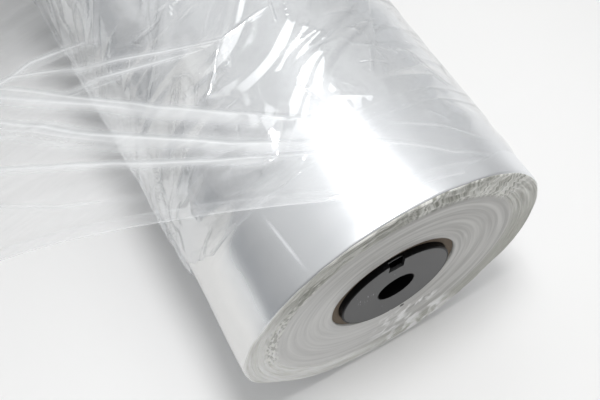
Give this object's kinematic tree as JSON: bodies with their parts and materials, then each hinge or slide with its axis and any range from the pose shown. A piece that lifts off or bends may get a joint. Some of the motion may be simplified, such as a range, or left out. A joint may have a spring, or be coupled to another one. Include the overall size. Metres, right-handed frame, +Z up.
{
  "type": "roll of poly tubing",
  "caption": "Clear plastic tubing wound on a board core with black end plugs, lying on its side with its gathered loose end drawn off over the top to the floor.",
  "frame": {"origin": "on the floor at the centre of the roll's flat spot, under the middle of its length", "axes": "+Y along the roll's axis, away from the end whose near edge of film is drawn back; +Z up; the loose end leaves towards -X"},
  "size_m": [0.5605, 0.4566, 0.2049],
  "materials": {
    "clear_film": "clear glossy polyethylene film, milky where its turns lie many deep",
    "core_board": "grey-brown spiral wound kraft board",
    "plug_plastic": "moulded black plastic, lightly scuffed"
  },
  "bodies": {
    "root": {"film_roll": "clear_film", "core": "core_board", "core_plug_near": "plug_plastic", "core_plug_far": "plug_plastic"}
  },
  "joints": []
}
